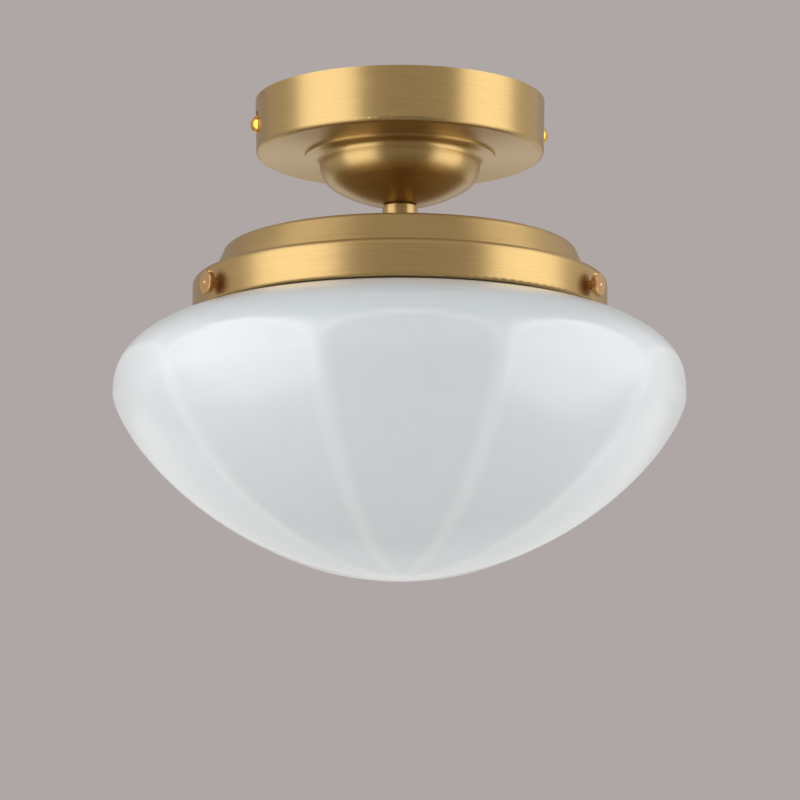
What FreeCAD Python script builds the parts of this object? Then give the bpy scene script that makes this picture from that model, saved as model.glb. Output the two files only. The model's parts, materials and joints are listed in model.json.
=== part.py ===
"""Semi flush ceiling light: a brass canopy with a domed cup under it, a short stem, a gallery
with three thumbscrews, and an opal glass shade moulded in ten panels.

Millimetres. The ceiling is the plane z = 0 and the light hangs below it. The crossbar that
holds the canopy lies along X, and everything turned is turned about Z."""
import FreeCAD
import Part
import math
import os

# ---------------------------------------------------------------- driving dimensions
# canopy: the pressed cup against the ceiling
CANOPY_RADIUS = 60.0
CANOPY_HEIGHT = 23.0
CANOPY_DRAFT = 0.4
CANOPY_WALL = 1.2
CANOPY_EDGE_RADIUS = 2.0
CANOPY_SCREW_DEPTH = 11.9
CANOPY_SLOT_RISE = 5.9

# crossbar on the ceiling, hidden in the canopy
BAR_WIDTH = 18.0
BAR_THICKNESS = 1.5
BAR_BEND_RADIUS = 2.5
BAR_CABLE_HOLE_RADIUS = 7.0
BAR_SLOT_WIDTH = 5.0
BAR_SLOT_LENGTH = 22.0
BAR_SLOT_SPACING = 50.0
EAR_TAIL = 5.0
EARTH_WASHER_THICKNESS = 1.0
EARTH_WASHER_MARGIN = 0.8

# domed cup under the canopy
CUP_RADIUS = 33.3
CUP_DEPTH = 21.3
CUP_EQUATOR_DROP = 3.9
CUP_SIDE_RADIUS = 11.0
CUP_COVE_RADIUS = 2.6
CUP_LIP_OVERHANG = 6.1
CUP_WALL = 1.0

# stem sleeve and the threaded tube inside it
STEM_RADIUS = 7.25
STEM_LENGTH = 19.3
STEM_EDGE_BEVEL = 0.4
TUBE_RADIUS = 5.0
TUBE_BORE_RADIUS = 3.75
TUBE_END_SPARE = 2.0
THREAD_BEVEL = 0.6
NUT_ACROSS_FLATS = 14.0
NUT_HEIGHT = 4.0
LOCK_WASHER_RADIUS = 8.5
LOCK_WASHER_THICKNESS = 0.8
LOCK_WASHER_TEETH = 12
LOCK_WASHER_TOOTH_BITE = 1.0

# gallery: the spun ring that holds the glass
GALLERY_WALL = 1.0
GALLERY_HEIGHT = 28.7
RISER_HEIGHT = 13.0
RISER_RUN = 5.5
RISER_TOP_RADIUS = 2.4
RISER_FOOT_RADIUS = 2.6
LEDGE_WIDTH = 7.6
BAND_EDGE_RADIUS = 2.4
HEM_WIDTH = 2.2
HEM_RADIUS = 1.3
GLASS_SIDE_GAP = 6.1

# thumbscrews, their bushes and their soft tips
THUMBSCREW_COUNT = 3
FRONT_PAIR_SPREAD = 125.0
FRONT_PAIR_MIDDLE = -97.5
THUMBSCREW_RISE = 6.5
THUMB_HEAD_RADIUS = 4.9
THUMB_HEAD_THICKNESS = 2.4
THUMB_HEAD_GAP = 2.2
THUMB_TEETH = 40
THUMB_TOOTH_DEPTH = 0.35
THUMB_HEAD_CHAMFER = 0.4
THUMB_DIMPLE_RADIUS = 0.9
THUMB_SHANK_RADIUS = 2.0
THUMB_POINT_RADIUS = 1.2
THUMB_PITCH = 0.7
RELEASE_TURNS = 6
BUSH_RADIUS = 3.4
BUSH_FLANGE_RADIUS = 4.4
BUSH_FLANGE_THICKNESS = 0.8
TIP_RADIUS = 2.3
TIP_LENGTH = 3.0
TIP_END_WALL = 1.0
TIP_EDGE_BEVEL = 0.4

# opal glass shade
NECK_RADIUS = 75.0
LIP_OVERHANG = 3.3
LIP_THICKNESS = 4.0
LIP_EDGE_RADIUS = 1.3
NECK_LENGTH = 9.1
NECK_COVE_RADIUS = 4.0
GLASS_FLARE = 42.7
SHOULDER_DROP = 32.2
SHOULDER_POWERS = (1.5, 2.5)
BOWL_DEPTH = 75.5
BOWL_POWERS = (1.9, 1.43)
GLASS_WALL = 3.6
CURVE_STEPS = 12
PANEL_COUNT = 10
PANEL_TURN = 10.9
PANEL_CENTRE_SHIFT = 72.0
RIDGE_SOFTENING = 0.25

# lampholder: porcelain body on a steel hanger
HANGER_WIDTH = 14.0
HANGER_THICKNESS = 1.5
HANGER_SPAN = 25.0
HANGER_DROP = 13.5
HANGER_FOOT = 9.0
HANGER_BEND_RADIUS = 2.3
HANGER_SCREW_BITE = 5.0
HOLDER_RADIUS = 21.0
HOLDER_HEAD_RADIUS = 23.5
HOLDER_HEAD_HEIGHT = 9.0
HOLDER_HEIGHT = 36.0
HOLDER_CAVITY_DEPTH = 28.5
HOLDER_EDGE_RADIUS = 1.0
LAMP_THREAD_RADIUS = 13.5
SHELL_WALL = 0.5
SHELL_LENGTH = 25.0
SHELL_COLLAR_HEIGHT = 4.5
SHELL_HOLE_RADIUS = 12.0
CONTACT_WIDTH = 5.0
CONTACT_THICKNESS = 0.5
CONTACT_DROP = 4.0
CONTACT_BEND_RADIUS = 1.2
RIVET_RADIUS = 1.4
RIVET_PLACE = 9.0
POST_WIDTH = 6.0
POST_HEIGHT = 5.0
POST_SCREW_STEP = 6.0
POST_SCREW_LENGTH = 3.0
POST_WIRE_RADIUS = 1.25
POST_WIRE_RISE = 1.7

# terminal block and earth screw on the crossbar
BLOCK_LENGTH = 17.0
BLOCK_HEIGHT = 7.0
BLOCK_BASE = 2.5
BLOCK_PITCH = 9.4
BLOCK_GROOVE = 0.8
POLE_COUNT = 3
SLEEVE_RADIUS = 2.5
SLEEVE_BORE_RADIUS = 1.7
SLEEVE_LENGTH = 15.0
CHIMNEY_RADIUS = 2.7
CHIMNEY_HEIGHT = 1.8
CLAMP_SCREW_RADIUS = 1.3
CLAMP_BITE = 0.8

# machine screws: thread radius, head radius, head height; shares of a head and of a thread
M4_SCREW = (2.0, 3.85, 2.6)
M35_SCREW = (1.75, 3.2, 2.2)
M3_SCREW = (1.5, 2.8, 1.8)
HEAD_SLOT_SHARE = 0.45
SCREW_POINT_SHARE = 0.3

# clearances
THREAD_CLEARANCE = 0.05
HOLE_CLEARANCE = 0.2
SEAT_GAP = 0.3
DRIVER_SLOT = 0.8

# ---------------------------------------------------------------- levels and radii that follow
canopy_floor = -CANOPY_HEIGHT
cup_foot = canopy_floor - CUP_DEPTH
gallery_top = cup_foot - STEM_LENGTH
ledge_level = gallery_top - RISER_HEIGHT
band_bottom = gallery_top - GALLERY_HEIGHT
thumbscrew_level = band_bottom + THUMBSCREW_RISE

lip_radius = NECK_RADIUS + LIP_OVERHANG
band_inner_radius = lip_radius + GLASS_SIDE_GAP
band_radius = band_inner_radius + GALLERY_WALL
riser_foot_radius = band_radius - LEDGE_WIDTH
riser_head_radius = riser_foot_radius - RISER_RUN
equator_radius = NECK_RADIUS + GLASS_FLARE
tip_inner_end = NECK_RADIUS + SEAT_GAP
thumb_head_inner = band_radius + THUMB_HEAD_GAP

neck_top = thumbscrew_level + TIP_RADIUS + SEAT_GAP
lip_top = neck_top + LIP_THICKNESS
shoulder_top = neck_top - NECK_LENGTH
equator_level = shoulder_top - SHOULDER_DROP
pole_level = equator_level - BOWL_DEPTH

tube_hole_radius = TUBE_RADIUS + HOLE_CLEARANCE
canopy_washer_top = canopy_floor + CANOPY_WALL + LOCK_WASHER_THICKNESS
tube_top = canopy_washer_top + NUT_HEIGHT + TUBE_END_SPARE
hanger_top = gallery_top - GALLERY_WALL - LOCK_WASHER_THICKNESS
gallery_nut_top = hanger_top - HANGER_THICKNESS
tube_bottom = gallery_nut_top - NUT_HEIGHT - TUBE_END_SPARE
holder_top = hanger_top - HANGER_DROP
holder_mouth = holder_top - HOLDER_HEIGHT
cavity_top = holder_mouth + HOLDER_CAVITY_DEPTH
cavity_radius = LAMP_THREAD_RADIUS + SHELL_WALL
shell_low = cavity_top - SHELL_LENGTH
collar_low = cavity_top - SHELL_COLLAR_HEIGHT
collar_bore_radius = LAMP_THREAD_RADIUS - SHELL_WALL

canopy_bore_radius = CANOPY_RADIUS - CANOPY_DRAFT - CANOPY_WALL
ear_reach = math.sqrt(canopy_bore_radius ** 2 - (BAR_WIDTH / 2) ** 2) - SEAT_GAP
block_place = ear_reach - BAR_THICKNESS - BAR_BEND_RADIUS - BLOCK_LENGTH / 2
block_floor = -BAR_THICKNESS - BLOCK_BASE - BLOCK_HEIGHT
chimney_mouth = block_floor - CHIMNEY_HEIGHT
sleeve_level = -BAR_THICKNESS - BLOCK_BASE - SLEEVE_RADIUS
clamp_reach = SLEEVE_LENGTH / 2 - CHIMNEY_RADIUS
block_screw_y = BLOCK_PITCH / 2
hanger_screw_place = HANGER_SPAN / 2 + HANGER_FOOT / 2

Z_AXIS = FreeCAD.Vector(0, 0, 1)
ORIGIN = FreeCAD.Vector(0, 0, 0)


# ---------------------------------------------------------------- shape helpers
def at(radius, level):
    """Point of a turned outline: distance from the axis and height."""
    return FreeCAD.Vector(radius, 0, level)


def corner_arc(before, corner, after, radius):
    """Tangent points and middle point of the arc that rounds one corner of an outline."""
    to_before = (before - corner).normalize()
    to_after = (after - corner).normalize()
    half_angle = to_before.getAngle(to_after) / 2
    reach = radius / math.tan(half_angle)
    inward = (to_before + to_after).normalize()
    middle = corner + inward * (radius / math.sin(half_angle) - radius)
    return corner + to_before * reach, middle, corner + to_after * reach


def outline(corners):
    """Open wire through (radius, level, rounding) corners."""
    points = [at(r, z) for r, z, rounding in corners]
    edges = []
    last = points[0]
    for index in range(1, len(points) - 1):
        rounding = corners[index][2]
        if rounding == 0:
            edges.append(Part.makeLine(last, points[index]))
            last = points[index]
            continue
        start, middle, end = corner_arc(points[index - 1], points[index], points[index + 1], rounding)
        if (start - last).Length > 1e-4:
            edges.append(Part.makeLine(last, start))
        edges.append(Part.Arc(start, middle, end).toShape())
        last = end
    edges.append(Part.makeLine(last, points[-1]))
    return Part.Wire(edges)


def turned(face):
    """Solid of revolution about Z."""
    solid = face.revolve(ORIGIN, Z_AXIS, 360)
    return Part.Solid(solid.Shells[0]) if solid.ShapeType != "Solid" else solid


def turned_outline(corners):
    """Solid turned from a closed outline of (radius, level, rounding) corners."""
    wire = outline(corners + [corners[0]])
    return turned(Part.Face(wire))


def pressed_sheet(wire, offset):
    """Sheet metal turned about Z: the visible outline, thickened inwards by an offset whose sign
    follows the way the outline runs."""
    return turned(wire.makeOffset2D(offset, 0, True, True))


def arc_about(centre, radius, start, end):
    """Arc in the XZ plane about a centre, between two angles from +X towards +Z."""
    def point(angle):
        return centre + at(radius * math.cos(angle), radius * math.sin(angle))
    return Part.Arc(point(start), point((start + end) / 2), point(end)).toShape()


def tube(outer, inner, low, high):
    """Plain ring about Z."""
    ring = Part.makeCylinder(outer, high - low, at(0, low))
    if inner > 0:
        ring = ring.cut(Part.makeCylinder(inner, high - low, at(0, low)))
    return ring


def rod(radius, start, direction, length):
    return Part.makeCylinder(radius, length, start, direction)


def box(low, high):
    size = FreeCAD.Vector(*high) - FreeCAD.Vector(*low)
    return Part.makeBox(size.x, size.y, size.z, FreeCAD.Vector(*low))


def prism(points, direction):
    """Polygon pushed along a direction."""
    return Part.Face(Part.makePolygon(points + [points[0]])).extrude(direction)


def about_z(shape, degrees):
    copy = shape.copy()
    copy.rotate(ORIGIN, Z_AXIS, degrees)
    return copy


def slot_cutter(length, width, low, high):
    """Round-ended slot along X."""
    reach = length / 2 - width / 2
    middle = box((-reach, -width / 2, low), (reach, width / 2, high))
    ends = [rod(width / 2, FreeCAD.Vector(x, 0, low), Z_AXIS, high - low) for x in (-reach, reach)]
    return middle.fuse(ends)


def hex_nut(low, bore):
    """Hexagon nut about Z, its corners taken off by a cone at both ends."""
    corner_radius = NUT_ACROSS_FLATS / math.sqrt(3)
    bevel = corner_radius - NUT_ACROSS_FLATS / 2
    corners = [FreeCAD.Vector(corner_radius * math.cos(math.radians(60 * k)),
                              corner_radius * math.sin(math.radians(60 * k)), low) for k in range(6)]
    body = prism(corners, at(0, NUT_HEIGHT))
    high = low + NUT_HEIGHT
    limit = turned_outline([(0, low, 0), (corner_radius - bevel, low, 0),
                            (corner_radius, low + bevel / 2, 0), (corner_radius, high - bevel / 2, 0),
                            (corner_radius - bevel, high, 0), (0, high, 0)])
    return body.common(limit).cut(tube(bore, 0, low, high))


def lock_washer(low):
    """Internal ring with outward teeth."""
    root_radius = (LOCK_WASHER_RADIUS + tube_hole_radius) / 2
    high = low + LOCK_WASHER_THICKNESS
    tooth_width = math.pi * root_radius / LOCK_WASHER_TEETH
    tooth = box((root_radius - LOCK_WASHER_TOOTH_BITE, -tooth_width / 2, low),
                (LOCK_WASHER_RADIUS, tooth_width / 2, high))
    teeth = [about_z(tooth, 360 * k / LOCK_WASHER_TEETH) for k in range(LOCK_WASHER_TEETH)]
    ring = tube(root_radius, 0, low, high).fuse(teeth)
    return ring.cut(tube(tube_hole_radius, 0, low, high)).removeSplitter()


def round_head_screw(size, length):
    """Slotted round-head screw: the head's seat is the origin and the shank runs down -Z."""
    thread_radius, head_radius, head_height = size
    ball_radius = (head_radius ** 2 + head_height ** 2) / (2 * head_height)
    ball = Part.makeSphere(ball_radius, at(0, head_height - ball_radius))
    head = ball.common(tube(head_radius, 0, 0, head_height))
    slot_floor = head_height * (1 - HEAD_SLOT_SHARE)
    slot = box((-head_radius, -DRIVER_SLOT / 2, slot_floor), (head_radius, DRIVER_SLOT / 2, head_height))
    tip_bevel = thread_radius * SCREW_POINT_SHARE
    shank = turned_outline([(0, 0, 0), (thread_radius, 0, 0), (thread_radius, tip_bevel - length, 0),
                            (thread_radius - tip_bevel, -length, 0), (0, -length, 0)])
    return head.cut(slot).fuse(shank).removeSplitter()


def placed(shape, seat, outward):
    """Copy of a screw with its head's seat at a point and its head towards a direction."""
    copy = shape.copy()
    copy.Placement = FreeCAD.Placement(seat, FreeCAD.Rotation(Z_AXIS, outward)).multiply(copy.Placement)
    return copy


# ---------------------------------------------------------------- canopy and crossbar
def canopy():
    wire = outline([(CANOPY_RADIUS, 0, 0), (CANOPY_RADIUS - CANOPY_DRAFT, canopy_floor, CANOPY_EDGE_RADIUS),
                    (tube_hole_radius, canopy_floor, 0)])
    shell = pressed_sheet(wire, -CANOPY_WALL)
    # the drafted wall leans, so its thickened rim is cut flat against the ceiling
    shell = shell.cut(tube(2 * CANOPY_RADIUS, 0, 0, CANOPY_WALL))
    width = 2 * (M4_SCREW[0] + HOLE_CLEARANCE)
    slot = slot_cutter(CANOPY_SLOT_RISE + width / 2, width, 0, 2 * CANOPY_RADIUS)
    slot.rotate(ORIGIN, FreeCAD.Vector(0, 1, 0), 90)
    slot.translate(at(-CANOPY_RADIUS, -CANOPY_SCREW_DEPTH + CANOPY_SLOT_RISE / 2 - width / 4))
    return shell.cut(slot)


def mounting_bracket():
    """Crossbar: a flat strip with an ear bent down at each end."""
    ear_foot = -CANOPY_SCREW_DEPTH - EAR_TAIL
    half = outline([(0, 0, 0), (ear_reach, 0, BAR_BEND_RADIUS), (ear_reach, ear_foot, 0)])
    strip = half.makeOffset2D(-BAR_THICKNESS, 0, True, True)
    arm = strip.extrude(FreeCAD.Vector(0, BAR_WIDTH, 0))
    arm.translate(FreeCAD.Vector(0, -BAR_WIDTH / 2, 0))
    bar = arm.fuse(about_z(arm, 180)).removeSplitter()
    slot = slot_cutter(BAR_SLOT_LENGTH, BAR_SLOT_WIDTH, -BAR_THICKNESS, 0)
    for side in (-1, 1):
        copy = slot.copy()
        copy.translate(FreeCAD.Vector(side * BAR_SLOT_SPACING / 2, 0, 0))
        bar = bar.cut(copy)
    bar = bar.cut(rod(BAR_CABLE_HOLE_RADIUS, at(0, -BAR_THICKNESS), Z_AXIS, BAR_THICKNESS))
    tapped = M4_SCREW[0] + THREAD_CLEARANCE
    bar = bar.cut(rod(tapped, at(-ear_reach, -CANOPY_SCREW_DEPTH), FreeCAD.Vector(1, 0, 0), 2 * ear_reach))
    bar = bar.cut(rod(tapped, at(-block_place, -BAR_THICKNESS), Z_AXIS, BAR_THICKNESS))
    fixing = FreeCAD.Vector(block_place, block_screw_y, -BAR_THICKNESS)
    return bar.cut(rod(M3_SCREW[0] + THREAD_CLEARANCE, fixing, Z_AXIS, BAR_THICKNESS))


def canopy_screws():
    depth_ratio = CANOPY_SCREW_DEPTH / CANOPY_HEIGHT
    wall_face = CANOPY_RADIUS - CANOPY_DRAFT * depth_ratio
    length = wall_face - ear_reach + BAR_THICKNESS + EAR_TAIL / 2
    screw = round_head_screw(M4_SCREW, length)
    screws = {}
    for name, side in (("canopy_screw_left", -1), ("canopy_screw_right", 1)):
        seat = at(side * wall_face, -CANOPY_SCREW_DEPTH)
        screws[name] = placed(screw, seat, FreeCAD.Vector(side, 0, 0))
    return screws


# ---------------------------------------------------------------- wiring parts on the crossbar
def pole_places():
    return [BLOCK_PITCH * (k - (POLE_COUNT - 1) / 2) for k in range(POLE_COUNT)]


def clamp_places():
    return [(block_place + side * clamp_reach, y) for y in pole_places() for side in (-1, 1)]


def terminal_block():
    """Moulded strip: a base, a barrel per pole and two screw chimneys per barrel."""
    low_x = block_place - BLOCK_LENGTH / 2
    high_x = block_place + BLOCK_LENGTH / 2
    half_width = BLOCK_PITCH * POLE_COUNT / 2
    body = box((low_x, -half_width, -BAR_THICKNESS - BLOCK_BASE), (high_x, half_width, -BAR_THICKNESS))
    wall = BLOCK_PITCH / 2 - BLOCK_GROOVE
    for y in pole_places():
        body = body.fuse(box((low_x, y - wall, block_floor), (high_x, y + wall, -BAR_THICKNESS)))
    for x, y in clamp_places():
        mouth = FreeCAD.Vector(x, y, chimney_mouth)
        body = body.fuse(rod(CHIMNEY_RADIUS, mouth, Z_AXIS, sleeve_level - chimney_mouth))
    for y in pole_places():
        start = FreeCAD.Vector(low_x, y, sleeve_level)
        body = body.cut(rod(SLEEVE_RADIUS, start, FreeCAD.Vector(1, 0, 0), BLOCK_LENGTH))
    clamp_bore = CLAMP_SCREW_RADIUS + HOLE_CLEARANCE
    for x, y in clamp_places():
        mouth = FreeCAD.Vector(x, y, chimney_mouth)
        body = body.cut(rod(clamp_bore, mouth, Z_AXIS, sleeve_level - chimney_mouth))
    web = FreeCAD.Vector(block_place, block_screw_y, chimney_mouth)
    fixing = rod(M3_SCREW[0] + HOLE_CLEARANCE, web, Z_AXIS, -chimney_mouth)
    return body.cut(fixing).removeSplitter()


def terminal_sleeves():
    """Brass wire sleeves in the barrels, tapped for two clamping screws each."""
    sleeves = {}
    along = FreeCAD.Vector(1, 0, 0)
    for index, y in enumerate(pole_places()):
        start = FreeCAD.Vector(block_place - SLEEVE_LENGTH / 2, y, sleeve_level)
        sleeve = rod(SLEEVE_RADIUS, start, along, SLEEVE_LENGTH)
        sleeve = sleeve.cut(rod(SLEEVE_BORE_RADIUS, start, along, SLEEVE_LENGTH))
        for side in (-1, 1):
            seat = FreeCAD.Vector(block_place + side * clamp_reach, y, sleeve_level - SLEEVE_RADIUS)
            sleeve = sleeve.cut(rod(CLAMP_SCREW_RADIUS + THREAD_CLEARANCE, seat, Z_AXIS, SLEEVE_RADIUS))
        sleeves["terminal_sleeve_%d" % (index + 1)] = sleeve
    return sleeves


def clamp_screws():
    """Headless slotted screws, one group for the whole block."""
    screws = []
    length = sleeve_level - SLEEVE_BORE_RADIUS + CLAMP_BITE - block_floor
    for x, y in clamp_places():
        screw = rod(CLAMP_SCREW_RADIUS, FreeCAD.Vector(x, y, block_floor), Z_AXIS, length)
        notch = box((x - CLAMP_SCREW_RADIUS, y - DRIVER_SLOT / 4, block_floor),
                    (x + CLAMP_SCREW_RADIUS, y + DRIVER_SLOT / 4, block_floor + DRIVER_SLOT))
        screws.append(screw.cut(notch))
    return Part.makeCompound(screws)


def block_screw():
    """Screw through the block's web into the crossbar."""
    seat = FreeCAD.Vector(block_place, block_screw_y, block_floor)
    return placed(round_head_screw(M3_SCREW, -block_floor), seat, FreeCAD.Vector(0, 0, -1))


def earth_screw():
    seat = at(-block_place, -BAR_THICKNESS - EARTH_WASHER_THICKNESS)
    length = BAR_THICKNESS + EARTH_WASHER_THICKNESS
    return placed(round_head_screw(M4_SCREW, length), seat, FreeCAD.Vector(0, 0, -1))


def earth_washer():
    """Square saddle washer with its wire guides turned down at two sides."""
    half = M4_SCREW[1] + EARTH_WASHER_MARGIN
    low = -BAR_THICKNESS - EARTH_WASHER_THICKNESS
    plate = box((-half, -half, low), (half, half, -BAR_THICKNESS))
    guide = box((-half, half, low - EARTH_WASHER_MARGIN),
                (half, half + EARTH_WASHER_THICKNESS, -BAR_THICKNESS))
    plate = plate.fuse([guide, about_z(guide, 180)])
    plate = plate.cut(tube(M4_SCREW[0] + HOLE_CLEARANCE, 0, low, -BAR_THICKNESS))
    plate.translate(FreeCAD.Vector(-block_place, 0, 0))
    return plate.removeSplitter()


# ---------------------------------------------------------------- cup, stem and threaded tube
def dome_cup():
    """Spun cup: a thin lip on the canopy, a cove, and a dome of two tangent arcs."""
    equator = canopy_floor - CUP_EQUATOR_DROP
    side_centre = CUP_RADIUS - CUP_SIDE_RADIUS
    depth = equator - cup_foot
    bottom_radius = (side_centre ** 2 + depth ** 2 - CUP_SIDE_RADIUS ** 2) / (2 * (depth - CUP_SIDE_RADIUS))
    side = at(side_centre, equator)
    bottom = at(0, cup_foot + bottom_radius)
    lip_level = canopy_floor - CUP_WALL
    cove_level = lip_level - CUP_COVE_RADIUS
    cove_run = math.sqrt((CUP_SIDE_RADIUS + CUP_COVE_RADIUS) ** 2 - (cove_level - equator) ** 2)
    cove = at(side_centre + cove_run, cove_level)
    lip_end = at(CUP_RADIUS + CUP_LIP_OVERHANG, lip_level)
    to_side = math.atan2(side.z - cove.z, side.x - cove.x) % (2 * math.pi)
    join_angle = math.atan2(side.z - bottom.z, side.x - bottom.x)
    foot_angle = -math.acos(tube_hole_radius / bottom_radius)
    edges = [Part.makeLine(lip_end, at(cove.x, lip_level)),
             arc_about(cove, CUP_COVE_RADIUS, math.pi / 2, to_side),
             arc_about(side, CUP_SIDE_RADIUS, to_side - math.pi, join_angle),
             arc_about(bottom, bottom_radius, join_angle, foot_angle)]
    return pressed_sheet(Part.Wire(edges), -CUP_WALL)


def stem_sleeve():
    """Sleeve between the dome and the gallery, over the threaded tube."""
    bevel = STEM_EDGE_BEVEL
    return turned_outline([(tube_hole_radius, gallery_top, 0), (STEM_RADIUS, gallery_top, 0),
                           (STEM_RADIUS, cup_foot - bevel, 0), (STEM_RADIUS - bevel, cup_foot, 0),
                           (tube_hole_radius, cup_foot, 0)])


def threaded_tube():
    """Hollow threaded tube that clamps canopy, cup, stem and gallery together."""
    bevel = THREAD_BEVEL
    return turned_outline([(TUBE_BORE_RADIUS, tube_bottom, 0), (TUBE_RADIUS - bevel, tube_bottom, 0),
                           (TUBE_RADIUS, tube_bottom + bevel, 0), (TUBE_RADIUS, tube_top - bevel, 0),
                           (TUBE_RADIUS - bevel, tube_top, 0), (TUBE_BORE_RADIUS, tube_top, 0)])


# ---------------------------------------------------------------- gallery and thumbscrews
def thumbscrew_angles():
    """Bearings of the thumbscrews: the front pair, then the others shared out behind."""
    first = FRONT_PAIR_MIDDLE - FRONT_PAIR_SPREAD / 2
    rest = (360 - FRONT_PAIR_SPREAD) / (THUMBSCREW_COUNT - 1)
    return [first] + [first + FRONT_PAIR_SPREAD + rest * k for k in range(THUMBSCREW_COUNT - 1)]


def gallery():
    """Spun ring: flat top, sloping riser, ledge, upright band and a hem turned inwards."""
    wire = outline([(band_radius - HEM_WIDTH, band_bottom, 0),
                    (band_radius, band_bottom, HEM_RADIUS),
                    (band_radius, ledge_level, BAND_EDGE_RADIUS),
                    (riser_foot_radius, ledge_level, RISER_FOOT_RADIUS),
                    (riser_head_radius, gallery_top, RISER_TOP_RADIUS),
                    (tube_hole_radius, gallery_top, 0)])
    shell = pressed_sheet(wire, GALLERY_WALL)
    start = at(band_inner_radius - GALLERY_WALL, thumbscrew_level)
    hole = rod(BUSH_RADIUS, start, FreeCAD.Vector(1, 0, 0), 4 * GALLERY_WALL)
    return shell.cut([about_z(hole, angle) for angle in thumbscrew_angles()])


def along_x(shape):
    """Lays a shape turned about Z down along X at the thumbscrews' level."""
    copy = shape.copy()
    copy.rotate(ORIGIN, FreeCAD.Vector(0, 1, 0), 90)
    copy.translate(at(0, thumbscrew_level))
    return copy


def band_bush():
    """Threaded bush: a flange behind the band and a collar through it, flush outside."""
    bore = THUMB_SHANK_RADIUS + THREAD_CLEARANCE
    flange_back = math.sqrt(band_inner_radius ** 2 - BUSH_FLANGE_RADIUS ** 2)
    flange = tube(BUSH_FLANGE_RADIUS, 0, flange_back - BUSH_FLANGE_THICKNESS, flange_back)
    collar = tube(BUSH_RADIUS, 0, flange_back, band_radius + GALLERY_WALL)
    bush = along_x(flange.fuse(collar).cut(tube(bore, 0, 0, 2 * band_radius)))
    limit = tube(band_radius, 0, band_bottom, ledge_level)
    return bush.common(limit).removeSplitter()


def thumb_head():
    """Knurled disc: straight teeth on its edge, bevelled faces and a small centre dimple."""
    low = thumb_head_inner
    high = low + THUMB_HEAD_THICKNESS
    root = THUMB_HEAD_RADIUS - THUMB_TOOTH_DEPTH
    points = []
    for k in range(2 * THUMB_TEETH):
        radius = THUMB_HEAD_RADIUS if k % 2 else root
        angle = math.pi * k / THUMB_TEETH
        points.append(FreeCAD.Vector(radius * math.cos(angle), radius * math.sin(angle), low))
    disc = prism(points, at(0, THUMB_HEAD_THICKNESS))
    edge = THUMB_HEAD_RADIUS - THUMB_HEAD_CHAMFER
    limit = turned_outline([(0, low, 0), (edge, low, 0), (THUMB_HEAD_RADIUS, low + THUMB_HEAD_CHAMFER, 0),
                            (THUMB_HEAD_RADIUS, high - THUMB_HEAD_CHAMFER, 0), (edge, high, 0), (0, high, 0)])
    dimple_depth = THUMB_DIMPLE_RADIUS / 2
    dimple = Part.makeCone(0, THUMB_DIMPLE_RADIUS, dimple_depth, at(0, high - dimple_depth))
    return disc.common(limit).cut(dimple)


def thumbscrew():
    """Head, shank and the thin point that turns inside the soft tip."""
    shoulder = tip_inner_end + TIP_LENGTH
    point_end = tip_inner_end + TIP_END_WALL
    shank = turned_outline([(0, point_end, 0), (THUMB_POINT_RADIUS, point_end, 0),
                            (THUMB_POINT_RADIUS, shoulder, 0), (THUMB_SHANK_RADIUS, shoulder, 0),
                            (THUMB_SHANK_RADIUS, thumb_head_inner, 0), (0, thumb_head_inner, 0)])
    return along_x(thumb_head().fuse(shank).removeSplitter())


def screw_tip():
    """Soft cap over the screw's point, which bears on the glass neck."""
    high = tip_inner_end + TIP_LENGTH
    hole_floor = tip_inner_end + TIP_END_WALL
    hole = THUMB_POINT_RADIUS + THREAD_CLEARANCE
    edge = TIP_EDGE_BEVEL
    return along_x(turned_outline([(0, tip_inner_end, 0), (TIP_RADIUS - edge, tip_inner_end, 0),
                                   (TIP_RADIUS, tip_inner_end + edge, 0), (TIP_RADIUS, high, 0),
                                   (hole, high, 0), (hole, hole_floor, 0), (0, hole_floor, 0)]))


# ---------------------------------------------------------------- glass shade
def quarter(centre_radius, level, reach, drop, powers):
    """Points of a quarter superellipse, from its widest point to its end above or below."""
    points = []
    for k in range(CURVE_STEPS + 1):
        across = abs(math.cos(math.pi / 2 * k / CURVE_STEPS))
        along = (1 - across ** powers[0]) ** (1 / powers[1])
        points.append(at(centre_radius + reach * across, level + drop * along))
    return points


def curve_through(points, start_way, end_way):
    spline = Part.BSplineCurve()
    spline.interpolate(Points=points, InitialTangent=start_way, FinalTangent=end_way)
    return spline.toShape()


def glass_side(inset):
    """Edges from the pole of the bowl to the top of the cove; inset moves them inwards."""
    widest = equator_radius - inset
    cove = NECK_COVE_RADIUS + inset
    centre = at(NECK_RADIUS + NECK_COVE_RADIUS, shoulder_top + NECK_COVE_RADIUS)
    cove_floor = centre.z - cove
    bowl = quarter(0, equator_level, widest, inset - BOWL_DEPTH, BOWL_POWERS)
    shoulder = quarter(centre.x, equator_level, widest - centre.x, cove_floor - equator_level,
                       SHOULDER_POWERS)
    inward = FreeCAD.Vector(-1, 0, 0)
    return [curve_through(bowl, FreeCAD.Vector(0, 0, -1), inward),
            curve_through(shoulder, Z_AXIS, inward),
            arc_about(centre, cove, -math.pi / 2, -math.pi)]


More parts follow.
